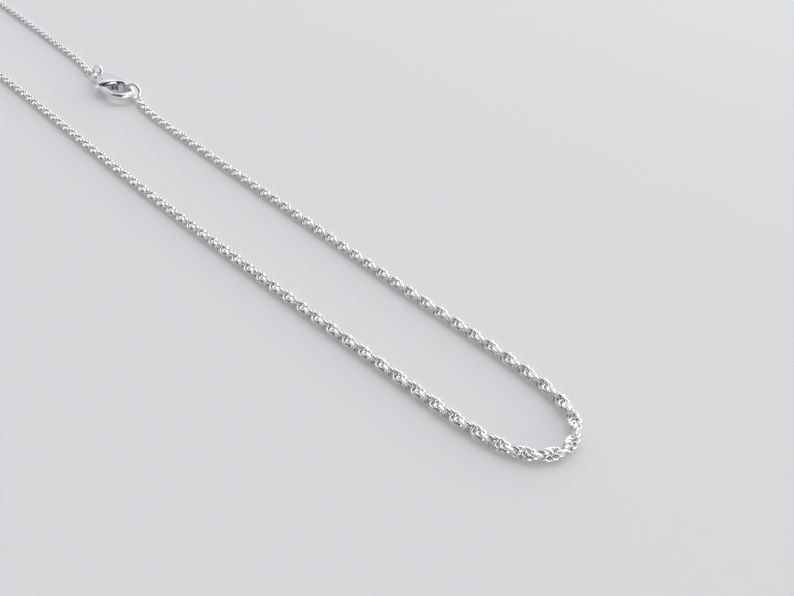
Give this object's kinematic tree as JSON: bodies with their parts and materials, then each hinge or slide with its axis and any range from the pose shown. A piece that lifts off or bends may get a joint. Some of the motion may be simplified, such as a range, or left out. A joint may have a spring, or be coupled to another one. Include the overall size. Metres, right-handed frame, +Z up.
{
  "type": "rope chain necklace",
  "caption": "Fine silver rope chain necklace, a whole loop of twisted interlocking links closed by a lobster clasp, laid flat in a long narrow loop.",
  "frame": {"origin": "centre of the loop's box, on the surface that the chain lies on", "axes": "+Y along the loop's long way, away from the bend that is seen close by, +X towards the run with the clasp, +Z up"},
  "size_m": [0.02, 0.2226, 0.0031],
  "materials": {
    "chain_silver": "bright polished silver wire",
    "ring_silver": "bright polished silver wire",
    "clasp_silver": "polished silver casting",
    "lever_silver": "polished silver",
    "pin_silver": "filed rivet end"
  },
  "bodies": {
    "necklace": {"rope_chain": "chain_silver", "catch_ring": "ring_silver", "clasp_body": "clasp_silver", "lever_pin": "pin_silver", "jump_ring": "ring_silver"},
    "lever": {"clasp_lever": "lever_silver"}
  },
  "joints": [
    {"name": "lever_hinge", "type": "hinge", "parent": "necklace", "child": "lever", "pos_m": [0.00285, -0.0101, 0.00139], "axis": [0, 0, 1], "range_deg": [0, 28], "stiffness_Nm_per_rad": 0.01}
  ]
}
